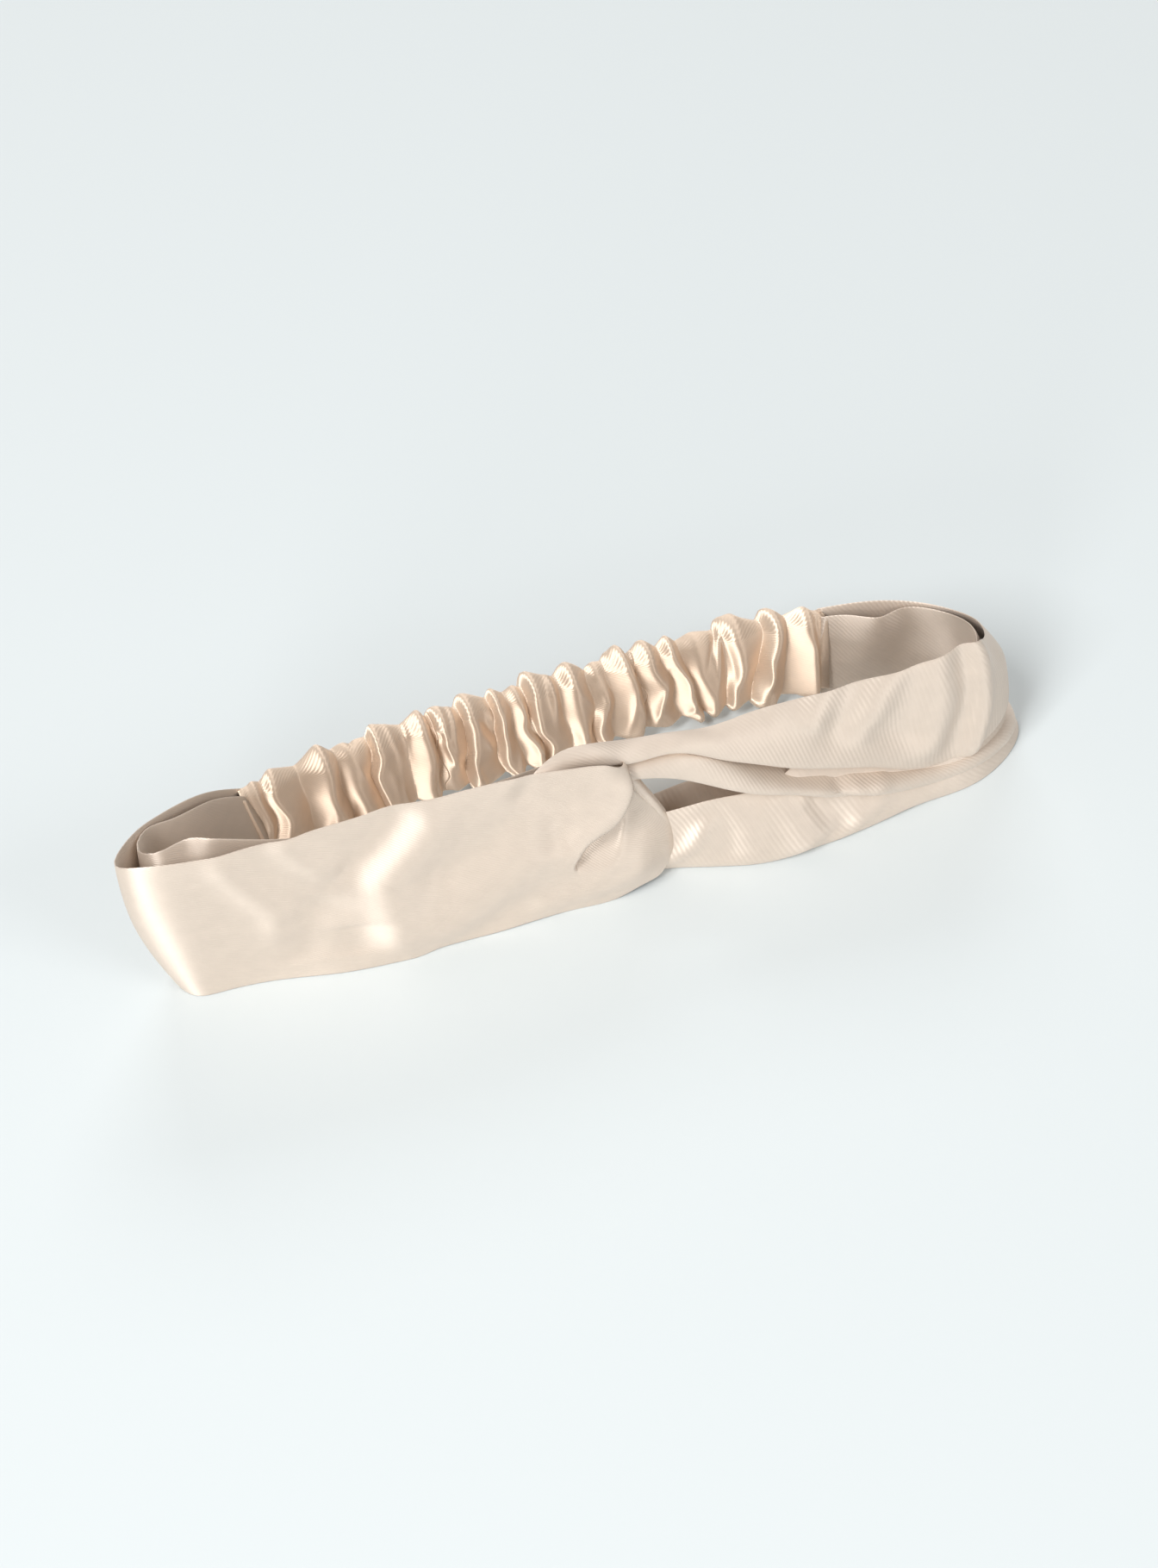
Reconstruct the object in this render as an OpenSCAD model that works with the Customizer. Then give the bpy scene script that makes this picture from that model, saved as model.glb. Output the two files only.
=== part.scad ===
// Knotted satin headband: two flat satin tubes folded in half and looped through
// each other at the front, sewn at the sides to a ruched casing that holds the elastic.
// It stands on its lower edges, flattened, as it lies on a table.
// Origin: middle of the base. +X along the band, -Y towards the knot, +Z up.

/* [Loop] */
// Length of the flattened loop, end to end
loop_l = 242; // [215:1:270]
// Depth of the loop, from the front band to the casing
loop_d = 60; // [56:1:80]

/* [Front strips] */
// Height of the front band, which is the width of a flat strip
strip_w = 52; // [48:1:60]
// Thickness of a strip, which is two plies with a little air between them
strip_t = 2.2; // [1.2:0.1:2.4]

/* [Casing] */
// Height of the ruched casing
casing_w = 34; // [28:1:38]
// Thickness of the casing between its gathers
casing_t = 8; // [6:0.5:10]
// How far the gathers stand out
gather_h = 1.2; // [0:0.1:1.5]
// Number of gathers along the casing
gather_n = 19; // [10:1:24]

/* [Elastic] */
// Width of the elastic
elastic_w = 20; // [12:1:24]
// Thickness of the elastic
elastic_t = 1.4; // [0.8:0.1:2]

/* [Thread] */
// Thickness of the sewing thread
thread_d = 0.4; // [0.3:0.1:0.4]
// Length of one stitch
stitch_l = 2.5; // [2:0.5:4]

/* [Hidden] */

satin = "#e3cfb8";
thread_colour = "#d8c0a4";
elastic_colour = "#efe9df";

// Sizes that the stations below were drawn at
drawn_l = 242;
drawn_d = 60;
drawn_w = 52;
// Rings between two stations of a strip
smooth = 4;
// Gap along X between the strips' ends and the casing's ends
join_gap = 0.4;
// Wall of the casing
casing_wall = 1.6;
// Rings of the casing to each gather
rings_per_gather = 4;
// Air under a thread that lies on cloth: on the elastic and joins, and on the curved seams
thread_air = 0.05;
seam_air = 0.3;

// Both joins lean: points on their end faces at a depth y and a height z.
function left_join(y, z) = [-72 - 0.25 * z, y, z];
function right_join(y, z) = [79 - 0.125 * z, y, z];

// A station is the outer edge and the inner edge of a strip, in millimetres.
// The left strip runs from the left join, round the end, along the front to the knot,
// and back behind itself to the join.
left_stations = [
    [left_join(24.5, 0), left_join(19.5, 36)],
    [[-88.0,  18.0, 0.0], [-96.0,  13.0, 41]],
    [[-101.0,  9.0, 0.0], [-109.0,  4.5, 46]],
    [[-107.0,  0.0, 0.0], [-118.0, -4.0, 50]],
    [[-106.0, -9.0, 0.0], [-118.5, -12.5, 52]],
    [[-97.0, -14.0, 0.0], [-108.0, -16.5, 52]],
    [[-72.0, -19.5, 0.0], [-79.0, -18.5, 52]],
    [[-53.0, -21.5, 0.0], [-53.0, -20.5, 52]],
    [[-30.0, -23.0, 0.0], [-30.0, -22.0, 51]],
    [[ -9.0, -24.5, 0.0], [-13.0, -23.5, 48]],
    [[  7.5, -26.2, 7.0], [ -4.0, -24.5, 45]],
    [[ 14.5, -21.5, 30.0], [ 7.0, -20.0, 43.5]],
    [[  5.0, -15.5, 28.0], [ -1.0, -14.5, 43.5]],
    [[ -9.0, -14.0, 10.0], [-12.0, -13.8, 47]],
    [[-30.0, -15.5, 0.0], [-30.0, -15.5, 49]],
    [[-53.0, -17.5, 0.0], [-53.0, -16.5, 50]],
    [[-70.0, -15.0, 0.0], [-77.0, -14.0, 50]],
    [[-91.0, -9.5, 0.0], [-99.0, -10.5, 50]],
    [[-100.0, -5.0, 0.0], [-110.0, -7.5, 49]],
    [[-102.0,  0.5, 0.0], [-111.5, -2.0, 47]],
    [[-97.5,  8.0, 0.0], [-106.0,  4.0, 43]],
    [[-87.5, 15.0, 0.0], [-95.0,  10.0, 39]],
    [left_join(20.5, 0), left_join(15.5, 35)]];

// The right strip runs from the right join, round the end as the lower arm, turns up
// inside the left strip's fold, and comes back over it as the upper arm.
right_stations = [
    [right_join(23, 0), right_join(20.5, 36)],
    [[ 96.0,  17.0, 0.0], [ 89.0,  12.0, 40]],
    [[112.0,   8.0, 0.0], [102.0,   3.0, 43]],
    [[118.5,  -2.0, 0.0], [107.5,  -6.0, 43]],
    [[118.0, -12.0, 0.0], [108.5, -14.0, 40]],
    [[109.0, -20.5, 0.0], [103.0, -21.0, 34]],
    [[ 92.0, -26.0, 0.0], [ 90.0, -25.5, 29]],
    [[ 70.0, -28.5, 0.0], [ 70.0, -27.5, 27]],
    [[ 45.0, -28.5, 0.0], [ 45.0, -27.5, 26]],
    [[ 24.0, -25.0, 0.0], [ 24.0, -24.5, 25]],
    [[ 12.0, -21.0, 0.0], [ 12.0, -20.8, 22]],
    [[  0.0, -19.8, 1.5], [  1.0, -19.6, 23]],
    [[-12.0, -19.2, 7.0], [ -4.0, -19.2, 27]],
    [[-19.5, -19.2, 20.0], [ -7.0, -19.2, 31]],
    [[-20.5, -19.2, 33.0], [ -7.5, -19.2, 36]],
    [[-15.0, -19.0, 44.0], [ -6.0, -19.0, 41]],
    [[ -6.0, -17.5, 50.0], [ -3.0, -18.5, 46]],
    [[  5.0, -15.0, 52.0], [  5.0, -18.0, 46.2]],
    [[ 15.0, -15.5, 51.5], [ 15.0, -19.0, 44.5]],
    [[ 26.0, -17.0, 51.0], [ 26.0, -20.5, 37]],
    [[ 40.0, -18.5, 50.5], [ 40.0, -22.0, 31]],
    [[ 58.0, -20.0, 50.5], [ 58.0, -23.0, 28]],
    [[ 78.0, -20.5, 50.5], [ 78.0, -22.5, 28]],
    [[ 92.0, -19.0, 50.5], [ 94.0, -20.0, 27]],
    [[ 99.0, -14.0, 49.0], [103.0, -14.0, 23]],
    [[100.5,  -6.5, 46.0], [107.5,  -5.0, 14]],
    [[ 97.0,   1.5, 43.0], [104.0,   5.0, 6]],
    [[ 87.0,   9.0, 39.0], [ 92.0,  13.0, 2]],
    [right_join(16, 35), right_join(19, 1)]];

// The casing's middle line: its base point and its top point.
casing_stations = [
    [left_join(22.5, 0), left_join(17.5, casing_w)],
    [[-50.0, 24.8, 0.0], [-52.0, 23.0, casing_w]],
    [[-25.0, 25.0, 0.0], [-26.0, 23.5, casing_w]],
    [[  0.0, 25.0, 0.0], [  0.0, 23.5, casing_w]],
    [[ 26.0, 25.0, 0.0], [ 25.0, 23.5, casing_w]],
    [[ 52.0, 24.2, 0.0], [ 50.0, 22.5, casing_w]],
    [right_join(21, 0), right_join(18.2, casing_w)]];

function to_size(p) = [p.x * loop_l / drawn_l, p.y * loop_d / drawn_d, p.z * strip_w / drawn_w];

// Catmull-Rom point on a list of points: span i, share u along it.
function curve_point(p, i, u) =
    let (n = len(p) - 1,
         a = p[max(i - 1, 0)], b = p[i], c = p[min(i + 1, n)], d = p[min(i + 2, n)])
    0.5 * ((2 * b) + (c - a) * u + (2 * a - 5 * b + 4 * c - d) * u * u
           + (3 * b - a - 3 * c + d) * u * u * u);

function curve(p, spans) = [for (i = [0 : len(p) - 2], k = [0 : spans - 1]) curve_point(p, i, k / spans),
                            p[len(p) - 1]];

// One edge curve of a strip, nowhere below the base.
function edge(stations, side, spans) =
    [for (p = curve([for (s = stations) to_size(s[side])], spans)) [p.x, p.y, max(p.z, 0)]];

// Horizontal unit vector square to the path at point i of the middle line.
// At both ends it lies along Y, so that the end faces slide past each other.
function across(mid, rise, i) =
    let (n = len(mid) - 1,
         along = mid[min(i + 1, n)] - mid[max(i - 1, 0)],
         square_to = cross(along, rise[i]))
    i == 0 || i == n ? [0, sign(square_to.y), 0]
                     : [square_to.x, square_to.y, 0] / norm([square_to.x, square_to.y]);

function sides(a, b) = let (mid = (a + b) / 2, rise = b - a) [for (i = [0 : len(a) - 1]) across(mid, rise, i)];

// Faces of a tube of rings, each with the same number of points, closed at both ends.
function tube_faces(rings, around) = [
    [for (k = [around - 1 : -1 : 0]) k],
    for (i = [0 : rings - 2], k = [0 : around - 1])
        let (a = i * around + k, b = i * around + (k + 1) % around)
        each [[a, b, a + around], [b, b + around, a + around]],
    [for (k = [0 : around - 1]) (rings - 1) * around + k]];

// A flat strip of cloth of thickness t between the curves a and b.
module strip_solid(a, b, t) {
    n = sides(a, b);
    points = [for (i = [0 : len(a) - 1])
        each [a[i] - n[i] * t / 2, a[i] + n[i] * t / 2, b[i] + n[i] * t / 2, b[i] - n[i] * t / 2]];
    polyhedron(points, tube_faces(len(a), 4));
}

// The same strip from its stations.
module strip(stations, t) {
    strip_solid(edge(stations, 0, smooth), edge(stations, 1, smooth), t);
}

// One stitch lies on the cloth from a to b.
module stitch(a, b) {
    run = b - a;
    translate(a)
        rotate([0, acos(run.z / norm(run)), atan2(run.y, run.x)])
            cylinder(h = norm(run), d = thread_d, $fn = 16);
}

// Stitches along a line of points, each on the side that lift points to.
module stitches(line, lift) {
    for (i = [0 : len(line) - 2])
        let (step = line[i + 1] - line[i])
            stitch(line[i] + lift[i] + step * 0.12, line[i] + lift[i] + step * 0.88);
}

// Points along a straight line, a stitch apart.
function stitch_line(a, b) =
    let (n = max(1, round(norm(b - a) / stitch_l))) [for (i = [0 : n]) a + (b - a) * i / n];

// A line at a share of the height of a strip, on one of its faces, for its lengthwise seam.
module strip_seam(stations, share, first, last) {
    a = edge(stations, 0, smooth);
    b = edge(stations, 1, smooth);
    n = sides(a, b);
    off = strip_t / 2 + thread_d / 2 + seam_air;
    stitches([for (i = [first : last]) a[i] + (b[i] - a[i]) * share],
             [for (i = [first : last]) n[i] * off]);
}

module left_strip() {
    color(satin) strip(left_stations, strip_t);
}

module right_strip() {
    color(satin) strip(right_stations, strip_t);
}

module left_strip_seam() {
    color(thread_colour) strip_seam(left_stations, 0.5, 14 * smooth, 20 * smooth);
}

module right_strip_seam() {
    color(thread_colour) strip_seam(right_stations, 0.5, 20 * smooth, 27 * smooth);
}

// Stitches that close a join, up the outer face of a strip's end. Side 1 is the face
// that across() points to, and side -1 is the other one.
module join_stitches(stations, side) {
    a = edge(stations, 0, smooth);
    b = edge(stations, 1, smooth);
    lift = sides(a, b)[1] * side * (strip_t / 2 + thread_d / 2 + thread_air);
    line = stitch_line(a[1] + (b[1] - a[1]) * 0.06, a[1] + (b[1] - a[1]) * 0.94);
    color(thread_colour) stitches(line, [for (p = line) lift]);
}

module left_join_stitches() {
    join_stitches(left_stations, 1);
}

module right_join_stitches() {
    join_stitches(right_stations, -1);
}

// The casing's edge curves. Both end points keep the gap to the strips.
function casing_edge(side) =
    let (spans = ceil(gather_n * rings_per_gather / (len(casing_stations) - 1)),
         e = edge(casing_stations, side, spans),
         n = len(e) - 1)
    [for (i = [0 : n]) e[i] + [join_gap * (i == 0 ? 1 : i == n ? -1 : 0), 0, 0]];

// Half the casing's thickness at ring i of n: it swells at each gather.
function casing_half(i, n) = casing_t / 2 + gather_h * sin(i / n * gather_n * 360);

module casing_outside() {
    a = casing_edge(0);
    b = casing_edge(1);
    n = sides(a, b);
    last = len(a) - 1;
    points = [for (i = [0 : last])
        let (out = n[i] * casing_half(i, last), rise = b[i] - a[i])
        each [a[i] - out * 0.5, a[i] + out * 0.5,
              a[i] + out + rise * 0.2, a[i] + out + rise * 0.8,
              b[i] + out * 0.5, b[i] - out * 0.5,
              a[i] - out + rise * 0.8, a[i] - out + rise * 0.2]];
    polyhedron(points, tube_faces(last + 1, 8));
}

// A line along the inside of the casing at a share of its height, from its second ring
// to its last but one.
function inside_line(share) =
    let (a = casing_edge(0), b = casing_edge(1))
    [for (i = [1 : len(a) - 2]) a[i] + (b[i] - a[i]) * share];

module casing_hollow() {
    strip_solid(inside_line(0.14), inside_line(0.86), casing_t - 2 * gather_h - 2 * casing_wall);
}

module back_casing() {
    color(satin) difference() {
        casing_outside();
        casing_hollow();
    }
}

// The elastic fills the casing from end to end, where the joins hold it.
elastic_low = 0.5 - elastic_w / casing_w / 2;

module elastic_band() {
    color(elastic_colour) strip_solid(inside_line(elastic_low), inside_line(1 - elastic_low), elastic_t);
}

module casing_seam() {
    a = casing_edge(0);
    b = casing_edge(1);
    n = sides(a, b);
    last = len(a) - 1;
    line = [for (i = [1 : last - 1]) a[i] + (b[i] - a[i]) * 0.3];
    lift = [for (i = [1 : last - 1])
        -n[i] * (max(casing_half(i, last), casing_half(i + 1, last)) + thread_d / 2 + thread_air)];
    color(thread_colour) stitches(line, lift);
}

// Bar tack: stitches up the elastic at one of its rings.
module elastic_tack(ring) {
    low = inside_line(elastic_low);
    high = inside_line(1 - elastic_low);
    lift = sides(low, high)[ring] * (elastic_t / 2 + thread_d / 2 + thread_air);
    rise = high[ring] - low[ring];
    line = stitch_line(low[ring] + rise * 0.1, high[ring] - rise * 0.1);
    color(thread_colour) stitches(line, [for (p = line) lift]);
}

module left_elastic_tack() {
    elastic_tack(2);
}

module right_elastic_tack() {
    elastic_tack(len(inside_line(0)) - 3);
}

left_strip();
right_strip();
left_strip_seam();
right_strip_seam();
left_join_stitches();
right_join_stitches();
back_casing();
elastic_band();
casing_seam();
left_elastic_tack();
right_elastic_tack();
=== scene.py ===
"""Knotted satin headband: two flat satin strips looped through each other, and a ruched casing."""
import math

import bpy
import numpy as np
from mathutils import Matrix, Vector


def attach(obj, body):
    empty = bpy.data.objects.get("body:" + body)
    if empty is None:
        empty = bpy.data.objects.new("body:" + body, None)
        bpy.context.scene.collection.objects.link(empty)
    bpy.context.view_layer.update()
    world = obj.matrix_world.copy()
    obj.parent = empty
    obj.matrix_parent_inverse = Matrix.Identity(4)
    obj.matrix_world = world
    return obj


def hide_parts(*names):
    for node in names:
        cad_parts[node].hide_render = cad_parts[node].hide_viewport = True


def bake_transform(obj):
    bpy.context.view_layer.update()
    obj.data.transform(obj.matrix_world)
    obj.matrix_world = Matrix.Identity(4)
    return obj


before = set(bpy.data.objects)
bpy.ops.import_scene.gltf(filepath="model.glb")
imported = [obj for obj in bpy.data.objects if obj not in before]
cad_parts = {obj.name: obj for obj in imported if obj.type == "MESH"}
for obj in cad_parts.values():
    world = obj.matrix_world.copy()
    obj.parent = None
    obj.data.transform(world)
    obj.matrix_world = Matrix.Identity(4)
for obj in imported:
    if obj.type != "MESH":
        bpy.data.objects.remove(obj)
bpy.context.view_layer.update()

MM = 0.001
# Thickness of the satin, and of the elastic's hollow braid.
SATIN_WALL = 0.25 * MM
ELASTIC_WALL = 0.4 * MM
# Half a strip's thickness, from its mid-surface to the outer face of each ply.
HALF_STRIP = 0.35 * MM
# Lowest height of a strip's plies, before they get their wall.
STRIP_FLOOR = 0.05 * MM
# The three pieces that the casing, its thread and the elastic are split into.
SPANS = ("left", "middle", "right")

# ---------------------------------------------------------------- curves and sheets


def smooth_curve(knots, values, at):
    """Natural cubic spline through values at knots, read at the places in at."""
    knots = np.asarray(knots, float)
    values = np.asarray(values, float)
    at = np.asarray(at, float)
    n = len(knots)
    h = np.diff(knots)
    shape = (-1,) + (1,) * (values.ndim - 1)
    slope = np.diff(values, axis=0) / h.reshape(shape)
    system = np.eye(n)
    right = np.zeros_like(values)
    for i in range(1, n - 1):
        system[i, i - 1 : i + 2] = h[i - 1], 2 * (h[i - 1] + h[i]), h[i]
        right[i] = 6 * (slope[i] - slope[i - 1])
    bend = np.linalg.solve(system, right.reshape(n, -1)).reshape(values.shape)
    i = np.clip(np.searchsorted(knots, at, side="right") - 1, 0, n - 2)
    hi = h[i].reshape(shape)
    a = ((knots[i + 1] - at) / h[i]).reshape(shape)
    b = 1 - a
    return (
        a * values[i]
        + b * values[i + 1]
        + ((a**3 - a) * bend[i] + (b**3 - b) * bend[i + 1]) * hi**2 / 6
    )


def eased(share):
    """Share from 0 to 1 with a soft start and a soft end."""
    share = np.clip(share, 0, 1)
    return share * share * (3 - 2 * share)


def lengths_along(points):
    """Distance along a row of points, from 0 at the first."""
    steps = np.linalg.norm(np.diff(points, axis=0), axis=-1)
    return np.concatenate([[0], np.cumsum(steps)])


def sheet_points(stations, shares, step, fine_step=None, fine=()):
    """A smooth sheet through stations, each a list of points across the cloth.

    Rows lie a step apart, or a fine_step in the spans of stations from fine[0] to fine[1].
    Returns points (along, across, 3) and each row's place, counted in stations."""
    grid = np.array(stations, float) * MM
    chord = np.linalg.norm(np.diff(grid, axis=0), axis=2).mean(axis=1)
    knots = np.concatenate([[0], np.cumsum(chord)])
    places = [0.0]
    for i, length in enumerate(chord):
        rows = max(1, round(length / (fine_step if fine and fine[0] <= i < fine[1] else step)))
        places += [i + k / rows for k in range(1, rows + 1)]
    places = np.array(places)
    rows = smooth_curve(knots, grid, np.interp(places, np.arange(len(knots)), knots))
    across = np.linspace(0, 1, grid.shape[1])
    return smooth_curve(across, rows.transpose(1, 0, 2), shares).transpose(1, 0, 2), places


def sheet_normals(points):
    """Unit normals of a sheet of points (along, across, 3)."""
    along = np.gradient(points, axis=0)
    across = np.gradient(points, axis=1)
    normals = np.cross(along, across)
    return normals / np.linalg.norm(normals, axis=2, keepdims=True)


def edge_shares(inner_count):
    """Shares across a strip: inner_count even ones, and extra ones beside both edges for their rounding."""
    rounding = np.array([0.003, 0.008, 0.016])
    inner = np.linspace(rounding[-1], 1 - rounding[-1], inner_count + 2)[1:-1]
    return np.concatenate([[0], rounding, inner, 1 - rounding[::-1], [1]])


def faded(places, first, last, haste=1):
    """0 at first, 1 a station later, and back to 0 at last, over 1 / haste of a station."""
    return np.clip(places - first, 0, 1) * np.clip((last - places) * haste, 0, 1)


def to_polyline(u, v, line):
    """Distance of points (u, v) from a line of points, and the share along it of the nearest place."""
    line = np.array(line, float)
    lengths = lengths_along(line)
    nearest = np.full(u.shape, np.inf)
    share = np.zeros(u.shape)
    for a, b, start, end in zip(line, line[1:], lengths, lengths[1:]):
        step = b - a
        t = np.clip(((u - a[0]) * step[0] + (v - a[1]) * step[1]) / step.dot(step), 0, 1)
        distance = np.hypot(u - a[0] - t * step[0], v - a[1] - t * step[1])
        closer = distance < nearest
        nearest = np.where(closer, distance, nearest)
        share = np.where(closer, (start + t * (end - start)) / lengths[-1], share)
    return nearest, share


def pressed(points, weight, ridges):
    """Raises soft ridges and presses soft hollows into a sheet that faces -Y.

    Each ridge is (line of x and z in mm, half width, height); weight says where they count."""
    normals = sheet_normals(points)
    x, z = points[..., 0] / MM, points[..., 2] / MM
    height = np.zeros(x.shape)
    for line, width, rise in ridges:
        distance, share = to_polyline(x, z, line)
        # Full height over the middle three fifths of the line, and low but not zero at its ends.
        fade = eased(np.minimum(share, 1 - share) * 4 + 0.2)
        height += rise * np.exp(-((distance / width) ** 2)) * fade
    return points + normals * (height * weight)[..., None] * MM


def dented(points, places, shares, dents):
    """Raises round dents along the normals: each is (place, share, their two half widths, height in mm)."""
    height = np.zeros(points.shape[:2])
    for place, share, place_width, share_width, rise in dents:
        along = ((places[:, None] - place) / place_width) ** 2
        across = ((shares[None, :] - share) / share_width) ** 2
        height += rise * np.exp(-along - across)
    return points + sheet_normals(points) * height[..., None] * MM


# ---------------------------------------------------------------- meshes


def mesh_object(name, vertices, faces, uvs=None):
    """A smooth-shaded mesh object; uvs has a place on the flat cloth for each corner of each face."""
    mesh = bpy.data.meshes.new(name)
    mesh.from_pydata([tuple(v) for v in vertices], [], faces)
    if uvs is not None:
        layer = mesh.uv_layers.new(name="cloth")
        flat = np.array([corner for face in uvs for corner in face])
        layer.data.foreach_set("uv", flat.ravel())
    mesh.polygons.foreach_set("use_smooth", [True] * len(mesh.polygons))
    mesh.update()
    obj = bpy.data.objects.new(name, mesh)
    bpy.context.scene.collection.objects.link(obj)
    return obj


def modified(obj):
    """Applies obj's modifiers to its mesh."""
    evaluated = obj.evaluated_get(bpy.context.evaluated_depsgraph_get())
    mesh = bpy.data.meshes.new_from_object(evaluated)
    obj.modifiers.clear()
    obj.data = mesh
    return obj


def tube_object(name, rings, along, around):
    """A tube of cloth from rings of points (along, around, 3), open at both ends.

    along and around give each point's place on the flat cloth in metres, for its UV map."""
    n, m = rings.shape[:2]
    vertices = rings.reshape(-1, 3)
    faces, uvs = [], []
    for i in range(n - 1):
        for k in range(m):
            k2 = (k + 1) % m
            faces.append((i * m + k, i * m + k2, (i + 1) * m + k2, (i + 1) * m + k))
            v0, v1 = around[k], around[k + 1]
            u0, u1 = along[i], along[i + 1]
            uvs.append(((u0, v0), (u0, v1), (u1, v1), (u1, v0)))
    return mesh_object(name, vertices, faces, uvs)


def strip_tube(name, points, shares):
    """Two plies of cloth over a sheet of points, closed into a flat tube with rounded edges."""
    normals = sheet_normals(points)
    squareness = 10
    swell = np.sqrt(np.clip(1 - np.abs(2 * shares - 1) ** squareness, 0, 1)) * HALF_STRIP
    front = points - normals * swell[None, :, None]
    back = points + normals * swell[None, :, None]
    rings = np.concatenate([front, back[:, -2:0:-1]], axis=1)
    rings[..., 2] = np.maximum(rings[..., 2], STRIP_FLOOR)
    along = lengths_along(points.mean(axis=1))
    width = lengths_along(points[len(points) // 2])[-1]
    around = np.concatenate([shares, 2 - shares[-2::-1]]) * width
    return tube_object(name, rings, along, around)


def cloth_wall(obj, thickness=SATIN_WALL):
    """Gives a cloth a thickness, behind its faces."""
    wall = obj.modifiers.new("wall", "SOLIDIFY")
    wall.thickness = thickness
    wall.offset = -1
    return modified(obj)


# ---------------------------------------------------------------- left strip

# From the join round the left end to the knot, and back inside to the join. Each station runs up the
# strip, from its lower edge to its upper one: x, y and z in millimetres.
LEFT_OUTER = [
    [(-72.5, 20.5, 0.5), (-73.5, 20, 9), (-75, 19.5, 18), (-77.5, 18.8, 26), (-80.2, 18, 33.5)],
    [(-84, 16.5, 0), (-85, 16, 10.5), (-86.5, 15, 21), (-88.5, 13.5, 31.5), (-91, 12, 42)],
    [(-97, 9, 0), (-99, 8, 11.5), (-101, 7, 23), (-103, 6, 34.5), (-104.5, 5.5, 46)],
    [(-104.5, 1.5, 0), (-107.5, 0.5, 12.5), (-110, -0.5, 25), (-112, -1.5, 37.5), (-113, -1, 48.5)],
    [(-107.5, -5.5, 0), (-112, -6.5, 12.8), (-115.5, -7.5, 25.5),
     (-117.5, -9, 38), (-118.5, -9.5, 50.5)],
    [(-105.5, -10.5, 0), (-108.5, -11.3, 13), (-111, -12.2, 26),
     (-113.5, -12.8, 39), (-114.8, -13.2, 51.8)],
    [(-98, -12.8, 0), (-99.5, -14, 13), (-101, -15, 26), (-103, -15.7, 39), (-104.5, -16.2, 52)],
    [(-86, -14.5, 0), (-87, -16, 13), (-89, -17, 26), (-91, -17.3, 39), (-93, -17.8, 52.3)],
    [(-70, -19, 0), (-71, -19.5, 13), (-72, -19.5, 26), (-73, -19.3, 39), (-74, -19.3, 52.7)],
    [(-52, -21.5, 0), (-52.5, -22.5, 13), (-52.5, -22.3, 26), (-53, -21.3, 39), (-53, -20.5, 53)],
    [(-32, -22.8, 0), (-32, -24, 13), (-32, -24, 26), (-31.5, -23, 39), (-31, -21.8, 52)],
    [(-12, -22.8, 0), (-12, -25, 12), (-12, -25.5, 25), (-12, -24.5, 37.5), (-12, -22.5, 49.5)],
    [(0, -24, 0), (0, -26.5, 11), (0, -27, 23), (-1, -26, 35), (-3, -24, 48.5)],
    [(8, -23.5, 1.5), (9.5, -25.3, 10), (9, -25.3, 21), (6, -24.5, 32), (0.5, -24, 46.5)],
    [(14, -21.5, 3.5), (17, -21.3, 10.5), (16.8, -21.3, 16), (13, -22, 26), (2.5, -21.8, 45.5)],
]
LEFT_INNER = [
    [(10, -18.5, 8), (14, -19, 14), (14, -18.5, 20), (10.5, -18.5, 28), (2, -18.5, 45)],
    [(0, -15.5, 6), (3, -15.5, 14), (4, -15.2, 22), (2, -15, 31), (-4, -15, 45.5)],
    [(-12, -14.5, 0.5), (-12, -14, 12), (-12, -14, 24), (-12, -14.2, 34), (-12, -14.5, 45)],
    [(-32, -15, 0), (-32, -14.5, 11.5), (-32, -14.5, 23), (-32, -14.5, 33), (-32, -14.5, 44)],
    [(-55, -16, 0), (-55, -15.5, 11.7), (-55, -15.5, 23.5), (-55, -15.5, 34), (-55, -15, 45)],
    [(-78, -13.5, 0), (-78, -14, 12), (-78.5, -14, 24), (-79, -14, 35), (-79, -13.8, 46.5)],
    [(-92, -10.5, 0), (-93, -11, 13), (-94, -11, 26), (-95, -10.5, 38), (-96, -10, 50)],
    [(-99, -7.5, 0), (-102, -8.5, 12.5), (-104, -9, 25), (-105, -9.5, 37.5), (-104, -8, 49)],
    [(-102.5, -1.5, 0), (-106, -2, 12), (-109, -3.5, 24), (-111, -5, 36), (-112, -5.5, 47)],
    [(-101, 3.5, 0), (-104, 3, 12), (-106.5, 2.5, 24), (-108.5, 1.5, 35.5), (-109.5, 1, 46.5)],
    [(-94, 8.5, 0), (-95.5, 7.5, 11), (-97.5, 6.5, 22.5), (-99.5, 5.5, 33.5), (-101.5, 4.8, 44.5)],
    [(-83, 14, 0), (-84, 13.3, 10), (-85.5, 12.5, 20.5), (-87.5, 11.2, 31), (-90, 10, 41)],
    [(-72.5, 17.7, 0.5), (-73.5, 17.2, 9), (-75, 16.7, 17.5), (-77.5, 16, 26), (-80.2, 15.2, 33.5)],
]

# Where along the strip, counted in stations, its ridges and its tuck begin and end.
LEFT_PANEL = (4.5, 14.6)
LEFT_KNOT = (10, 14.3)
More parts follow.
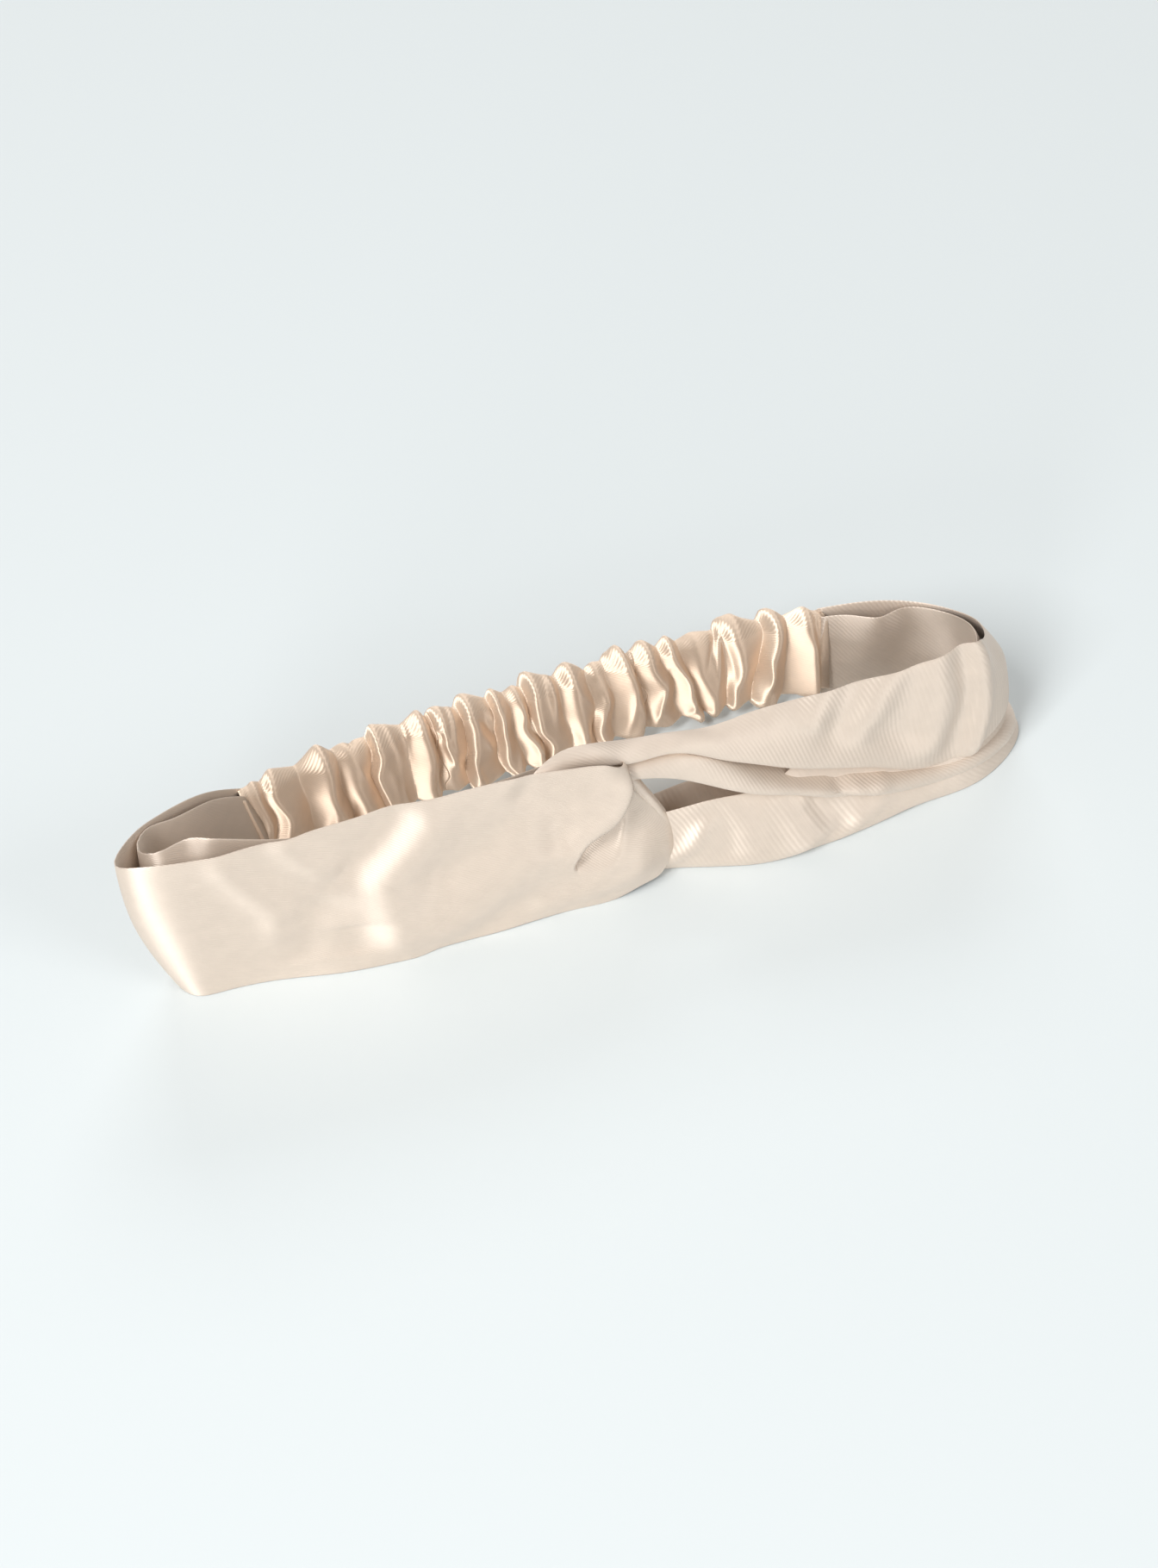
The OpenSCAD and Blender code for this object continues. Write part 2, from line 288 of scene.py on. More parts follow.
# Soft ridges and hollows of the front panel: line of x and z, half width, height.
LEFT_RIDGES = [
    ([(-99, 54), (-93, 42), (-84, 28), (-82, 12)], 4, 1.2),
    ([(-83, 54), (-77, 44), (-68, 35)], 4, 1.4),
    ([(-72, 30), (-78, 18), (-76, 6)], 6, -1.2),
    ([(-52, 54), (-58, 44), (-70, 32)], 5.5, -1.6),
    ([(-41, 54), (-47, 42), (-58, 30), (-55, 14), (-52, 2)], 6, 2.2),
    ([(-66, 18), (-66, 6)], 6, -1.1),
    ([(-14, 28), (-34, 18), (-50, 6)], 7, 1.7),
    ([(-24, 40), (-36, 32), (-50, 24)], 5.5, -1.3),
    ([(-20, 12), (-34, 4), (-50, -4)], 5.5, -1.2),
    ([(-26, 50), (-15, 38), (-16, 24)], 6, -1.4),
    ([(-24, 6), (-8, 9), (12, 14)], 4.5, 1.2),
    ([(-7, 12), (-1, 18), (5, 30)], 2.4, 0.5),
]
# The tuck beside the knot, from its open end at the fold's top to its pocket: x and z.
TUCK = [
    (3.5, 46), (1.8, 40), (0, 35), (-2.5, 31.5), (-6, 29),
    (-9, 26), (-11.3, 22.5), (-11.8, 19), (-10.8, 15.5),
]
TUCK_POINTS = 60


def tucked(points, weight):
    """Folds the front panel over itself along TUCK: a rolled lip above it, a pocket below."""
    normals = sheet_normals(points)
    x, z = points[..., 0] / MM, points[..., 2] / MM
    line = smooth_curve(np.arange(len(TUCK)), TUCK, np.linspace(0, len(TUCK) - 1, TUCK_POINTS))
    distance, share = to_polyline(x, z, line)
    i = np.clip((share * (TUCK_POINTS - 1)).astype(int), 0, TUCK_POINTS - 2)
    along = line[i + 1] - line[i]
    along = along / np.linalg.norm(along, axis=-1, keepdims=True)
    side = along[..., 0] * (z - line[i, 1]) - along[..., 1] * (x - line[i, 0])
    # Signed distance from the lip: above it negative, in the pocket positive.
    away = np.where(side > 0, distance, -distance)
    floor_level = line[-1, 1]
    end = np.where(away > 0, eased((z - floor_level) / 8), eased((1 - share) * 4))
    fade = weight * eased(share * 5) * end
    # The mesh draws together at the lip, so that its edge is fine.
    drawn = away * (0.2 + 0.8 * np.clip(np.abs(away) / 3, 0, 1) ** 2)
    drawn = away + (drawn - away) * fade
    inside = np.clip(drawn, 0, None)
    above = np.clip(-drawn, 0, None)
    # The pocket is a wide hollow with a narrow, deeper one at the lip, both deeper further down.
    low = eased((44 - z) / 20)
    below = (1.6 + 3.0 * low) * np.exp(-((inside / 15) ** 2)) + 2.6 * low * np.exp(-((inside / 4.5) ** 2))
    lip = 1.4 * np.exp(-((np.clip(-drawn - 0.6, 0, None) / 3.5) ** 2))
    step = 1 / (1 + np.exp(-(drawn - 0.1) / 0.16))
    height = lip * (1 - step) - below * step
    # The lip also hangs over the pocket, less and less towards its lower end.
    over = (2.2 - 1.3 * share) * np.exp(-((above / 4) ** 2)) * (1 - step)
    across = np.stack([-along[..., 1], 0 * x, along[..., 0]], axis=-1)
    moved = points + normals * (height * fade)[..., None] * MM
    return moved + across * (over * fade + drawn - away)[..., None] * MM


# The crumple at the left end, near the inner arm's upper edge: dents as dented() takes them.
CRUMPLE = [
    (21.7, 0.96, 0.5, 0.14, 1.6),
    (22.4, 0.84, 0.45, 0.1, -1.6),
    (22.9, 0.97, 0.4, 0.12, 1.2),
]


def build_left_strip():
    """The left strip, its sheet of points and their places; its rows are finer through the knot."""
    shares = edge_shares(77)
    stations = LEFT_OUTER + LEFT_INNER
    points, places = sheet_points(stations, shares, 2 * MM, fine_step=0.4 * MM, fine=(10, 14))
    front = faded(places, *LEFT_PANEL)[:, None]
    points = pressed(points, front, LEFT_RIDGES)
    knot = faded(places, *LEFT_KNOT, haste=1.5)[:, None]
    points = tucked(points, knot)
    points = dented(points, places, shares, CRUMPLE)
    strip = strip_tube("left_satin_strip", points, shares)
    return cloth_wall(strip), points, places


# ---------------------------------------------------------------- right strip

# Upper arm, from the join round the right end to the knot. Each station runs down the strip, from its
# upper edge over two pleats to its hem: x, y and z in millimetres.
RIGHT_UPPER = [
    [(75, 17.3, 34.6), (75.5, 17.8, 30.5), (76, 18.3, 26), (76.8, 19, 19), (77.2, 19.4, 15),
     (77.6, 19.7, 12), (78, 20, 9), (78.6, 20.4, 4.5), (79, 20.8, 0.5)],
    [(86, 12.5, 37), (87, 13.5, 31.5), (88, 14.5, 25.5), (88.7, 15.5, 18), (89, 16, 14),
     (89.3, 16.5, 11), (89.8, 17, 8), (90, 17.5, 4), (90.5, 18, 0.5)],
    [(98, 5.5, 38), (100, 7, 31), (101.5, 8.5, 24), (103, 10, 17), (103.3, 10.5, 13),
     (103.8, 11, 10), (104.5, 11.7, 7), (105, 12.3, 4), (105, 12.5, 0.5)],
    [(104.5, -1.5, 38.5), (109, 1.5, 31), (112, 3, 24), (114, 4, 16), (113.5, 4, 12),
     (113.5, 4, 9), (115.5, 5, 6.5), (116.5, 5.5, 3.5), (114, 4, 0.7)],
    [(107, -8, 39.5), (112, -6.5, 31), (115, -5.5, 23.5), (117, -5, 15), (116, -5, 11.5),
     (116, -5, 9), (119, -5, 6.5), (120, -5, 3.5), (117, -5, 1)],
    [(105, -14.5, 41.5), (111, -13.5, 33), (114, -13, 24), (115.5, -13, 14), (114.5, -12.5, 11),
     (114.5, -12.5, 9), (117, -13.5, 7), (118, -14, 4), (115, -12.5, 1.5)],
    [(101, -19, 45), (107, -18.5, 35), (109.5, -18.5, 25), (109.5, -19, 13), (108.5, -18, 11),
     (108.5, -18, 9.5), (110.5, -20, 8.5), (111, -20.5, 5.5), (109, -18.5, 2)],
    [(96, -22.3, 49.5), (101.5, -22.3, 38), (102.5, -22.8, 26), (101.5, -22.8, 12.5), (100.5, -21.8, 11.5),
     (100.5, -22, 10.5), (102, -24, 9.5), (102, -24.8, 7), (101, -22.5, 3)],
    [(90, -23, 50), (92.5, -24.3, 39), (93, -25, 26), (92, -25, 13), (91, -24, 12),
     (91, -24.3, 11), (92, -26, 10.3), (92, -26.7, 8), (91, -24, 4)],
    [(80, -23, 49.3), (80, -25.2, 40), (80, -26.5, 27), (80, -26.5, 16), (80, -23.5, 15),
     (80, -23.6, 13.8), (80, -27.3, 13), (80, -28.2, 10.5), (80, -25, 6)],
    [(68, -22.6, 48.5), (68, -25.3, 41), (68, -27.3, 30), (68, -27.5, 22), (68, -22.8, 21),
     (68, -23, 18.5), (68, -28.5, 17), (68, -29.8, 14.5), (68, -26, 10)],
    [(56, -22, 48), (56, -25, 42), (56, -27.3, 33), (56, -27.8, 27), (56, -22, 26.3),
     (56, -22, 23), (56, -28, 21), (56, -30, 19), (56, -25, 14)],
    [(46, -21.2, 47.5), (46, -24.5, 43.5), (46, -27, 36.5), (46, -27.5, 30.8), (46, -21.8, 30),
     (46, -21.5, 27), (46, -27, 25.5), (46, -29.5, 23.5), (46, -24, 19)],
    [(36, -20.3, 47), (36, -23.5, 44.5), (36, -26, 40), (36, -26.5, 35.5), (36, -21.3, 35),
     (36, -21, 32.5), (36, -26.5, 31), (36, -29, 27.5), (36, -23.5, 24)],
    [(27, -19.5, 45.5), (27, -22, 45), (27, -24.5, 43), (27, -25, 39.5), (27, -23, 39),
     (27, -23, 38), (27, -25.5, 37), (27, -27, 31.5), (27, -22, 31)],
    [(16, -18.3, 46.5), (16, -20, 47), (16, -22, 46), (16, -22.8, 44.3), (16, -21.5, 43),
     (16, -21.5, 42), (16, -23.5, 41), (16, -23.5, 36), (16, -19, 36)],
    [(5, -17.5, 48), (5, -19.5, 47.5), (5, -21, 46), (5, -21.5, 44), (5, -20, 43),
     (5, -20.3, 42), (5, -22, 41), (5, -21.5, 38.5), (5, -17, 38.5)],
    [(-6, -17.8, 51), (-6, -19.5, 50), (-6, -20.5, 48), (-6, -20.3, 46), (-6, -19.5, 44.5),
     (-6, -19.5, 43), (-6, -20.3, 41.5), (-6, -19.5, 39.5), (-6, -17, 39)],
    [(-14, -18, 50.5), (-14, -19.3, 49), (-13.5, -20, 47), (-12.5, -20, 45), (-11.5, -19.3, 43),
     (-11, -19, 41.5), (-10.5, -19.5, 40), (-10, -19, 38.5), (-9.5, -17.5, 38)],
]
# Knot: the strip turns down inside the left strip's fold. It isn't clear of it: between x -3 and 17 the
# two strips' cloth still crosses.
RIGHT_TURN = [
    [(-20.5, -19.5, 47), (-19, -20.3, 45), (-17.5, -20.5, 43), (-16, -20.3, 41.5), (-14.5, -19.5, 40),
     (-13.5, -19, 39), (-12.5, -19.3, 38), (-11.5, -19, 37), (-10.5, -17.5, 36.5)],
    [(-23, -19.5, 36), (-21, -20.5, 35), (-19, -20.5, 34), (-17, -20.3, 33.5), (-15.5, -19.5, 33),
     (-14.5, -19, 32.5), (-13.5, -19.3, 32), (-12, -19, 31.5), (-11, -17.5, 31)],
    [(-21.5, -19, 22), (-19.5, -20.3, 22.5), (-18, -20.5, 23), (-16, -20.3, 23.5), (-14.5, -19.5, 24),
     (-13, -19, 24.5), (-12, -19.3, 25), (-10.5, -19, 25.5), (-9.5, -17.5, 26)],
]
# Lower arm: each station runs from its back edge under the fold and up to its front edge.
RIGHT_LOWER = [
    [(-12, -16.5, 14), (-12, -18, 10), (-12, -19, 7.5), (-11.5, -19.8, 7), (-11, -20, 8),
     (-10, -20, 10), (-9, -20, 13), (-8, -19.8, 16), (-7, -19, 19)],
    [(1, -14.5, 20), (1, -14.8, 12), (1, -16, 5), (1, -18, 1.5), (1, -19.8, 2.5),
     (1, -20.5, 7), (1, -20.5, 12), (1, -20.3, 17), (1, -19.5, 21)],
    [(14, -13.8, 21.5), (14, -13.5, 12), (14, -14.5, 4), (14, -17, 0.5), (14, -19.8, 1),
     (14.5, -21.5, 6), (15, -22.3, 12), (15, -22.3, 18), (15, -21.8, 23)],
    [(27, -13.8, 22), (27, -13.8, 13), (27, -15.5, 4), (27, -19.5, 0.3), (27, -23.8, 0.3),
     (27, -26, 5), (27, -26.5, 12), (27, -26, 19), (27, -24.5, 25)],
    [(41, -16, 16), (41, -15.5, 8), (41, -18, 2), (41, -23, 0.2), (41, -28, 0.3),
     (41, -29.8, 5), (41, -29.3, 12), (41, -27.5, 19), (41, -25.5, 25.5)],
    [(56, -21, 3), (56, -23, 0.5), (56, -26, 0.2), (56, -28.5, 0.5), (56, -29.8, 4),
     (56, -29, 10), (56, -27, 17), (56, -24, 25), (56, -21.5, 33)],
    [(71, -25.5, 0.3), (71, -27, 0.2), (71, -28, 1.5), (71, -28.3, 5), (71, -27.5, 10),
     (71, -25.5, 17), (71, -23, 24), (71, -21, 32), (71, -20, 40)],
    [(87, -26, 0.2), (87, -26.8, 3), (87, -26.5, 7), (87, -25, 12), (87, -23.3, 18),
     (87, -22.3, 24), (87, -21.8, 30), (87, -21.6, 37.5), (87, -21.3, 45)],
    [(101, -25.3, 0.2), (101, -25, 4), (100.5, -24, 9), (99.5, -22, 15), (98.5, -21, 21),
     (98, -21, 27), (98, -21, 32), (97.5, -21, 38), (96.5, -20.8, 43.5)],
    [(114, -19.5, 0.2), (113, -18.5, 4.5), (111, -17.5, 9.5), (109, -16.5, 15), (107.5, -16, 20.5),
     (106.5, -16, 26), (105.5, -15.8, 30.5), (104.3, -15.5, 35), (102.7, -15, 39.5)],
    [(121.5, -10.5, 0.2), (119, -9, 5), (116, -8.5, 10), (113.5, -8, 15), (111.8, -7.7, 20),
     (110.5, -7.6, 25), (109, -7.5, 29.5), (107.7, -7.4, 33.5), (105.6, -7.3, 38)],
    [(120.5, -1, 0.2), (117.5, 0, 5), (114.5, 0.5, 10), (112, 0.5, 14.5), (110.3, 0.3, 19.5),
     (109, 0, 24), (107.5, -0.3, 28.5), (105.7, -0.6, 33), (103.3, -1, 37.5)],
    [(112, 6.5, 0.2), (110, 7, 4.5), (107.5, 7, 9), (105.5, 7, 13.5), (103.5, 7, 18.5),
     (101.9, 6.9, 23), (100.4, 6.5, 27.5), (98.8, 6, 32), (97, 5.4, 37)],
    [(96, 13.8, 0.2), (95, 13.5, 4.5), (94, 13.2, 9), (93, 12.8, 13.5), (92, 12.5, 18),
     (91.2, 12.1, 22.5), (90, 11.4, 27), (88.8, 10.7, 31.5), (87.5, 10.2, 36)],
    [(79, 18.6, 0.5), (78.4, 18.2, 5), (77.8, 17.8, 9.5), (77.2, 17.4, 14), (76.7, 17, 18.5),
     (76.3, 16.5, 23), (75.8, 16, 26), (75.4, 15.5, 30), (75, 15, 33.6)],
]

# Where along the strip, counted in stations, the ridges of its two arms begin and end.
UPPER_ARM = (6, 17)
LOWER_ARM = (23, 29)
# Share across the upper arm where its plain panel ends and its pleats and hem begin.
PLEATS_FROM = 0.5
PLEATS_FADE = 0.1
# Share across the lower arm where its folded underside ends and its face begins.
FACE_FROM = 0.35
FACE_FADE = 0.15
# Soft ridges and hollows of the two arms: line of x and z, half width, height.
UPPER_ARM_RIDGES = [
    ([(60, 56), (56, 48), (50, 39)], 4.5, 1.7),
    ([(78, 54), (70, 44), (62, 30)], 5, 2.2),
    ([(86, 24), (70, 32), (52, 41)], 5, -1.6),
    ([(84, 56), (88, 36), (82, 16)], 7, 2.2),
    ([(92, 54), (95, 32), (90, 12)], 4, -1.4),
    ([(96, 58), (99, 40), (101, 26), (98, 6)], 3, 2.4),
    ([(30, 50), (42, 49)], 5, -0.7),
]
LOWER_ARM_RIDGES = [
    ([(14, 4), (20, 10), (23, 16), (27, 22)], 2.2, 1.1),
    ([(24, 24), (29, 14), (30, 3)], 3.5, -1.1),
    ([(42, 26), (48, 14), (52, 2)], 6, 1.6),
    ([(50, 20), (58, 8), (60, 0)], 4, -1.2),
    ([(62, 4), (78, 9)], 4, 1.0),
]
# The diagonal fold on the plain back of the lower arm, near its join: dents as dented() takes them.
BACK_FOLD = [(34.9, 1.0, 0.45, 0.35, -2.6), (35.25, 0.6, 0.45, 0.35, -2.2)]
# Pucker of the upper arm's hem.
PUCKER = [
    ([(56, 21), (61, 16.5), (68, 13)], 2.2, -1.0),
    ([(74, 15), (66, 15.5), (60, 18)], 1.6, 0.7),
]


def build_right_strip():
    """The right strip, its sheet of points and their places."""
    shares = edge_shares(63)
    stations = RIGHT_UPPER + RIGHT_TURN + RIGHT_LOWER
    points, places = sheet_points(stations, shares, 1.5 * MM)
    upper = faded(places, *UPPER_ARM)[:, None]
    lower = faded(places, *LOWER_ARM)[:, None]
    panel = np.clip((PLEATS_FROM - shares) / PLEATS_FADE, 0, 1)
    points = pressed(points, upper * panel, UPPER_ARM_RIDGES)
    hem = np.clip((shares - PLEATS_FROM) / PLEATS_FADE, 0, 1)
    points = pressed(points, upper * hem, PUCKER)
    face = np.clip((shares - FACE_FROM) / FACE_FADE, 0, 1)
    points = pressed(points, lower * face, LOWER_ARM_RIDGES)
    points = dented(points, places, shares, BACK_FOLD)
    strip = strip_tube("right_satin_strip", points, shares)
    return cloth_wall(strip), points, places


# ---------------------------------------------------------------- ruched casing

# The casing's height in the CAD, and its own section: bottom, top and half its thickness, in mm.
CASING_W = 34
CASING_LOW = 4.4
CASING_HIGH = 31.6
CASING_HALF = 1.5
# Width of the casing's UV map, a little more than the 70 mm round its cloth.
CASING_UV_WIDTH = 0.078
# The casing's middle line, at its base and at its top: x and y.
CASING_BASE = [
    (-72, 19.3), (-62, 22.2), (-50, 24.2), (-25, 25), (0, 25),
    (26, 25), (52, 24), (66, 22), (79, 19.2),
]
CASING_TOP = [
    (-80.5, 16.8), (-66, 20.3), (-52, 22.4), (-26, 23.5), (0, 23.7),
    (25, 23.6), (50, 22.3), (64, 20.5), (75, 16.8),
]

# Each gather: x of its crest at the top, the middle and the bottom of the casing, its height at those
# three, how much of the way to the next crest its right side takes, and how soft its crest is.
GATHERS = [
    (-77.3, -75, -71.5, 1.2, 1.5, 1.3, 0.4, 0.2),
    (-72.6, -69.8, -65.5, 3.4, 3.3, 3.0, 0.5, 0),
    (-58.5, -56, -52.5, 3.9, 4.0, 3.4, 0.45, 0),
    (-51, -49, -45, 1.0, 2.8, 3.0, 0.7, 0.5),
    (-45, -41.5, -38, 3.4, 3.8, 3.0, 0.6, 0),
    (-32.5, -30, -28, 3.2, 3.4, 3.2, 0.35, 0.5),
    (-27.5, -24, -20.5, 3.2, 2.2, 0.8, 0.65, 0.3),
    (-20, -17, -17, 3.6, 3.4, 3.2, 0.75, 0.5),
    (-13, -9, -5.5, 3.2, 3.4, 3.0, 0.5, 0),
    (-7.5, -2.5, 0.5, 1.0, 2.8, 3.0, 0.4, 0.2),
    (-1.5, 1.8, 3.6, 5.0, 3.8, 3.2, 0.6, 0),
    (8, 11, 14, 3.4, 3.4, 2.8, 0.6, 0.4),
    (14.5, 17, 19, 0.8, 2.4, 3.0, 0.35, 0.2),
    (21.5, 26.2, 26.5, 3.8, 4.0, 3.2, 0.3, 0.2),
    (29.5, 33, 38, 3.2, 2.8, 1.0, 0.5, 0.2),
    (34.5, 39.5, 46.5, 3.4, 3.6, 3.2, 0.35, 0),
    (41.5, 46, 50.8, 1.2, 3.0, 4.0, 0.6, 0.2),
    (52, 55, 54.8, 3.8, 3.4, 2.2, 0.7, 0.2),
    (63.5, 63.5, 61, 4.0, 3.8, 3.0, 0.4, 0.6),
    (70.5, 75, 76.5, 2.8, 3.0, 2.2, 0.4, 0.1),
]
# The casing's cloth: rows along it, points around it, and how many small folds cross its gathers.
CASING_ROWS = 560
CASING_AROUND = 104
SMALL_FOLDS = 80
# x where the casing is cut in three pieces.
CASING_CUTS = (-26, 28)


def casing_middle(x, share):
    """y of the casing's middle line at x and a share of its height."""
    base = smooth_curve(*zip(*CASING_BASE), x.ravel()).reshape(x.shape)
    top = smooth_curve(*zip(*CASING_TOP), x.ravel()).reshape(x.shape)
    return base + (top - base) * share


def casing_ends(share):
    """x of the casing's left and right end at a share of its height: both ends slant."""
    return -72 - 0.25 * share * CASING_W, 79 - 0.125 * share * CASING_W


def casing_ring(count):
    """The casing's section without its gathers: points (y, z) and their outward normals.

    It starts under the bottom edge, and goes up the side that faces -Y and down the other."""
    low, high, half = CASING_LOW, CASING_HIGH, CASING_HALF
    straight = high - low - 2 * half
    turn = math.pi * half
    length = 2 * straight + 2 * turn
    points, normals = [], []
    for k in range(count):
        d = length * k / count
        if d < turn / 2 or d >= length - turn / 2:
            angle = (d if d < turn / 2 else d - length) / half
            centre, normal = low + half, (-math.sin(angle), -math.cos(angle))
        elif d < turn / 2 + straight:
            centre, normal = low + half + d - turn / 2, (-1, 0)
        elif d < turn * 1.5 + straight:
            angle = (d - turn / 2 - straight) / half
            centre, normal = high - half, (-math.cos(angle), math.sin(angle))
        else:
            centre, normal = high - half - (d - turn * 1.5 - straight), (1, 0)
        points.append((normal[0] * half, centre + normal[1] * half))
        normals.append(normal)
    return np.array(points), np.array(normals)


def lattice_noise(x, y, seed):
    """Smooth noise from -1 to 1, with features 1 wide."""
    size = 64
    values = np.random.default_rng(seed).uniform(-1, 1, (size, size))
    xi, yi = np.floor(x).astype(int), np.floor(y).astype(int)
    fx, fy = x - xi, y - yi
    fx, fy = fx * fx * (3 - 2 * fx), fy * fy * (3 - 2 * fy)

    def at(i, j):
        return values[(xi + i) % size, (yi + j) % size]

    low = at(0, 0) * (1 - fx) + at(1, 0) * fx
    high = at(0, 1) * (1 - fx) + at(1, 1) * fx
    return low * (1 - fy) + high * fy


def fold(distance, width):
    """Height from 0 to 1 of a small fold at a distance from its crest."""
    return (1 + (distance / width) ** 2) ** -1.5


def over_height(values, share):
    """Values at the top, middle and bottom of the casing, read at a share of its height."""
    top, middle, bottom = values
    bow = 4 * share * (1 - share)
    return bottom + (top - bottom) * share + (middle - (top + bottom) / 2) * bow


def ruched(x, share, side):
    """How far the casing's cloth stands out at x and a share of its height, and how far it leans.

    side is -1 or 1, for the face towards -Y or +Y: each face has its own wander and small folds."""
    bow = 4 * share * (1 - share)
    # The crest's line of each gather, which wanders, and its height along that line.
    lines, rises = [], []
    for number, gather in enumerate(GATHERS):
        line = over_height(gather[:3], share)
        line = line + 1.9 * lattice_noise(number + 0 * share, share * 3.4 + 7 * (side > 0), 3) * bow
        lines.append(np.where(side > 0, line + 2.5 * math.sin(1.7 * number) * bow, line))
        wander = lattice_noise(number * 3.3 + 0 * share, share * 3.5 + 3 * (side > 0), 5)
        rises.append(over_height(gather[3:6], share) * (1 + 0.3 * wander) * (1.1 - 0.45 * share**3))
    reaches = [gather[6] for gather in GATHERS]
    first, last = casing_ends(share)
    # Each gather spans from one valley to the next.
    valleys = [a + (b - a) * reach for a, b, reach in zip(lines, lines[1:], reaches)]
    valleys = [first, *valleys, last]
    total = 0 * x
    lean = 0 * x
    for number, gather in enumerate(GATHERS):
        start, end, line = valleys[number], valleys[number + 1], lines[number]
        # Shares of the way from each valley to the crest: the lower of the two sides sets the height.
        left = np.clip((x - start) / np.maximum(line - start, 1), 1e-3, 1.5)
        right = np.clip((end - x) / np.maximum(end - line, 1), 1e-3, 1.5)
        crisp = 1 - gather[7]
        firm = 4.5 - 3 * gather[7]
        left_side = left ** (-(0.9 + 0.45 * crisp) * firm)
        right_side = right ** (-(0.75 + 0.35 * crisp) * firm)
        height = (1 - 0.1 * crisp) * rises[number] * (left_side + right_side) ** (-1 / firm)
        inside = (x >= start) & (x < end)
        total = np.where(inside, height * 2 ** (0.6 / firm), total)
        lean = np.where(inside, (gather[6] - 0.5) * -1.6 * height * crisp, lean)
    draw = np.random.default_rng(11)
    for _ in range(SMALL_FOLDS):
        place, middle, reach = draw.uniform(-58, 76), draw.uniform(0, 1), draw.uniform(0.12, 0.34)
        slant, width, rise = draw.uniform(-16, 8), draw.uniform(0.7, 1.7), draw.uniform(-1.5, 1.8)
        face = draw.choice([-1, 1])
        away = (share - middle) / reach
        line = place + slant * (share - middle) + 0.8 * np.sin(6 * share + place)
        total = total + rise * fold(x - line, width) * np.exp(-(away**2)) * (side == face)
    return total, lean


def casing_rings():
    """Rings of the gathered casing (along, around, 3) in metres, even along its cloth."""
    section, normals = casing_ring(CASING_AROUND)
    share = np.clip(section[:, 1] / CASING_W, 0, 1)
    # Over the top and under the bottom edge the two sides' folds run into each other.
    turned = np.clip(np.abs(section[:, 0]) / CASING_HALF, 0, 1)
    near_share = np.where(section[:, 0] > 0, (1 - turned) / 2, 1 - (1 - turned) / 2)
    first, last = casing_ends(share)
    fine = np.linspace(0, 1, 3000)[:, None]
    x = first + (last - first) * fine
    near, lean_near = ruched(x, share, -1)
    far, lean_far = ruched(x, share, 1)
    out = near * near_share + far * (1 - near_share)
    lean = lean_near * near_share + lean_far * (1 - near_share)
    ends = eased((x - first) / 3) * eased((last - x) / 3)
    out = out * ends
    moved = x + lean * ends
    steps = np.hypot(np.diff(moved, axis=0), np.diff(out, axis=0))
    along = np.vstack([0 * first[None], np.cumsum(steps, axis=0)])
    rows = np.linspace(0, 1, CASING_ROWS)
    rings = np.zeros((CASING_ROWS, CASING_AROUND, 3))
    for k in range(CASING_AROUND):
        at = along[:, k] / along[-1, k]
        place = np.interp(rows, at, moved[:, k])
        swell = 1 + 0.06 * (np.exp((first[k] - place) / 8) + np.exp((place - last[k]) / 8))
        rise = np.interp(rows, at, out[:, k])
        rings[:, k, 0] = place
        rings[:, k, 1] = casing_middle(place, share[k] + 0 * place) + section[k, 0] + normals[k, 0] * rise
        rings[:, k, 2] = np.maximum(section[k, 1] * swell + normals[k, 1] * rise, 0.1)
    # The end rings close over the strips' sewn ends, and go through their cloth.
    for x, row in ((first - 1.2, 0), (last + 1.2, CASING_ROWS)):
        cuff = np.stack([x, casing_middle(x, share) + section[:, 0] * 1.6, section[:, 1] * 1.06], axis=1)
        rings = np.insert(rings, row, cuff, axis=0)
    return rings * MM


def casing_spans(rings):
    """Names and first and last rings of the casing's three pieces."""
    middles = rings[..., 0].mean(axis=1)
    cuts = [0, *(int(np.searchsorted(middles, x * MM)) for x in CASING_CUTS), len(rings) - 1]
    return zip(SPANS, cuts, cuts[1:])


def build_casing(rings):
    """The casing's cloth in three pieces."""
    along = lengths_along(rings[:, rings.shape[1] // 4])
    around = np.linspace(0, CASING_UV_WIDTH, rings.shape[1] + 1)
    pieces = []
    for name, start, end in casing_spans(rings):
        span = slice(start, end + 1)
        pieces.append(cloth_wall(tube_object("casing_" + name, rings[span], along[span], around)))
    return pieces


# The elastic, in mm: its lower and upper edge, half its thickness, its ends and the step of its rows.
ELASTIC_LOW = 8
ELASTIC_HIGH = 26
ELASTIC_HALF = 0.45
ELASTIC_ENDS = (-73, 75.5)
ELASTIC_STEP = 1.5
# Width of the elastic's UV map, in metres, and points around it.
ELASTIC_UV_WIDTH = 0.041
ELASTIC_AROUND = 24


def rounded(wave, power):
    """A sine or cosine made squarer, for a section with flat faces and round edges."""
    return np.sign(wave) * np.abs(wave) ** power


